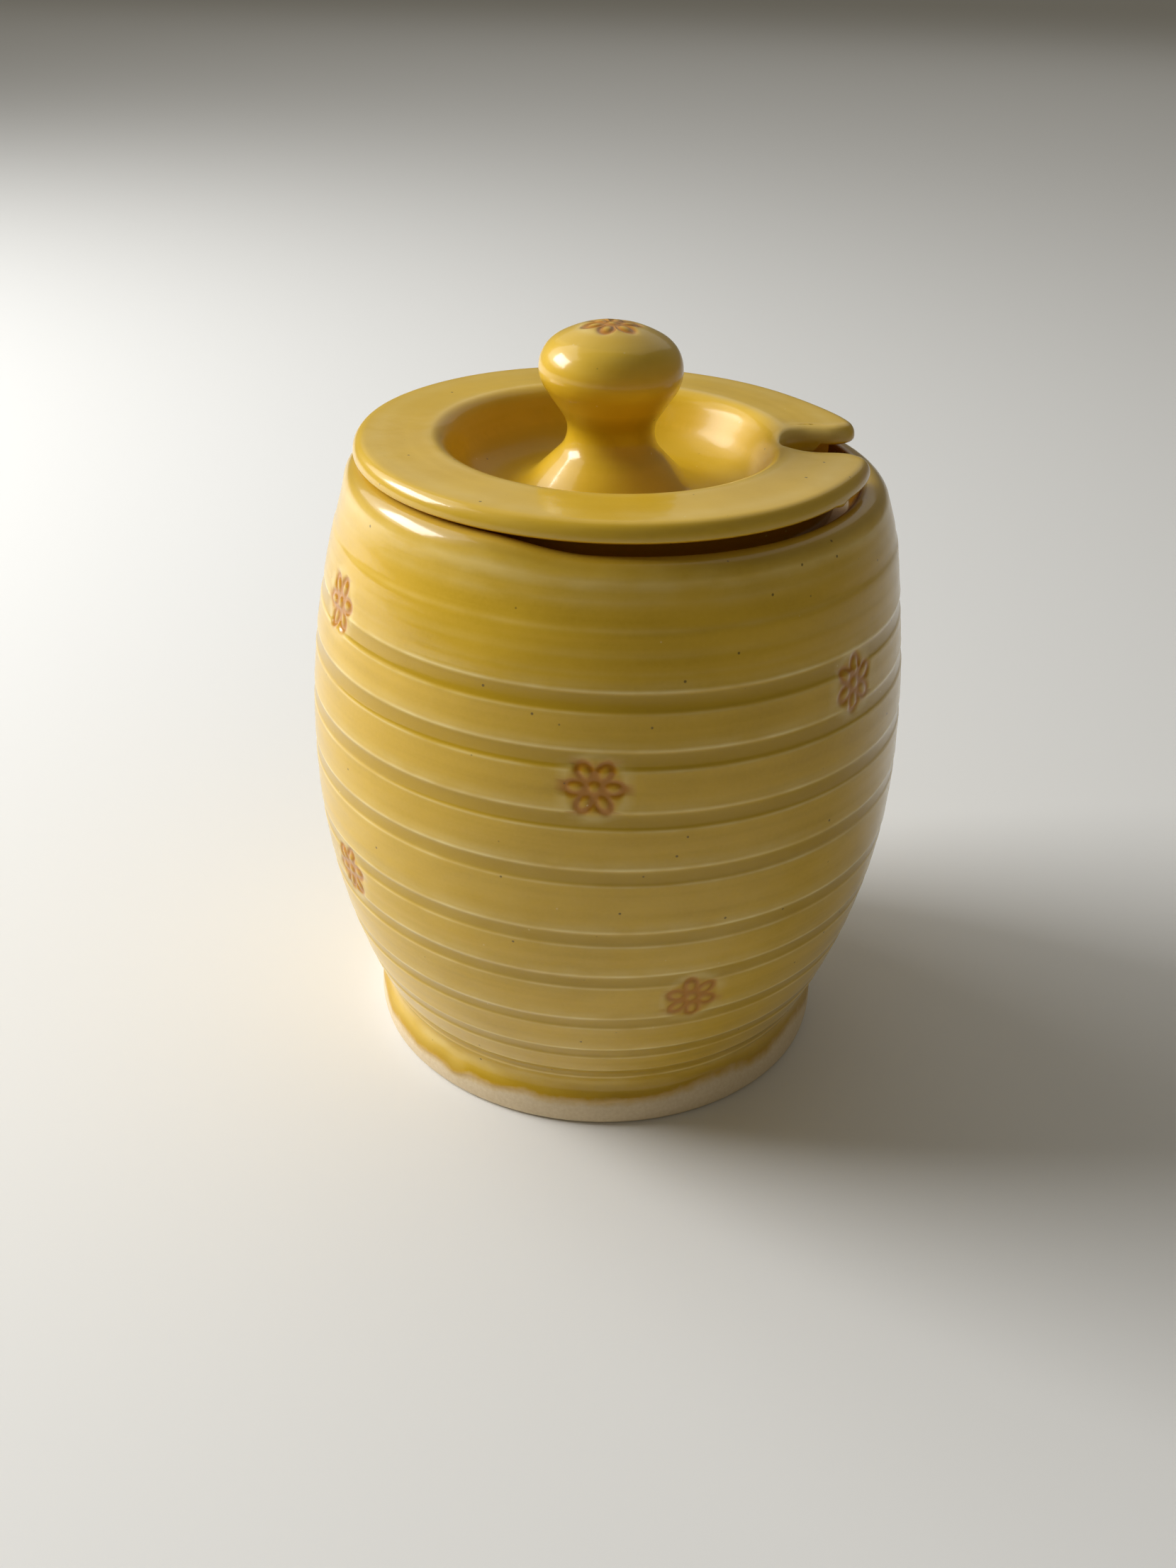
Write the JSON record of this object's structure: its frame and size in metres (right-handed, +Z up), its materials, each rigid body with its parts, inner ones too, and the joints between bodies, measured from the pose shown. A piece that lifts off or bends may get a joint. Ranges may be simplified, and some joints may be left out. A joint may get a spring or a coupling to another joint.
{
  "type": "honey pot with lift-off lid",
  "caption": "Barrel-shaped glazed stoneware pot with tooled grooves and a foot ring, closed by a sunken lid with a mushroom knob and a notch for a spoon or dipper.",
  "frame": {"origin": "centre of the foot, on the surface that the pot stands on", "axes": "+Z up along the axis that the pot was thrown round, +X towards the spoon notch in the lid"},
  "size_m": [0.1, 0.1, 0.1254],
  "materials": {
    "pot_glaze": "gloss",
    "lid_glaze": "gloss"
  },
  "bodies": {
    "pot": {"pot": "pot_glaze"},
    "lid": {"lid": "lid_glaze"}
  },
  "joints": [
    {"name": "lid_lift", "type": "slide", "parent": "pot", "child": "lid", "axis": [0, 0, 1], "range_m": [0, 0.06]}
  ]
}
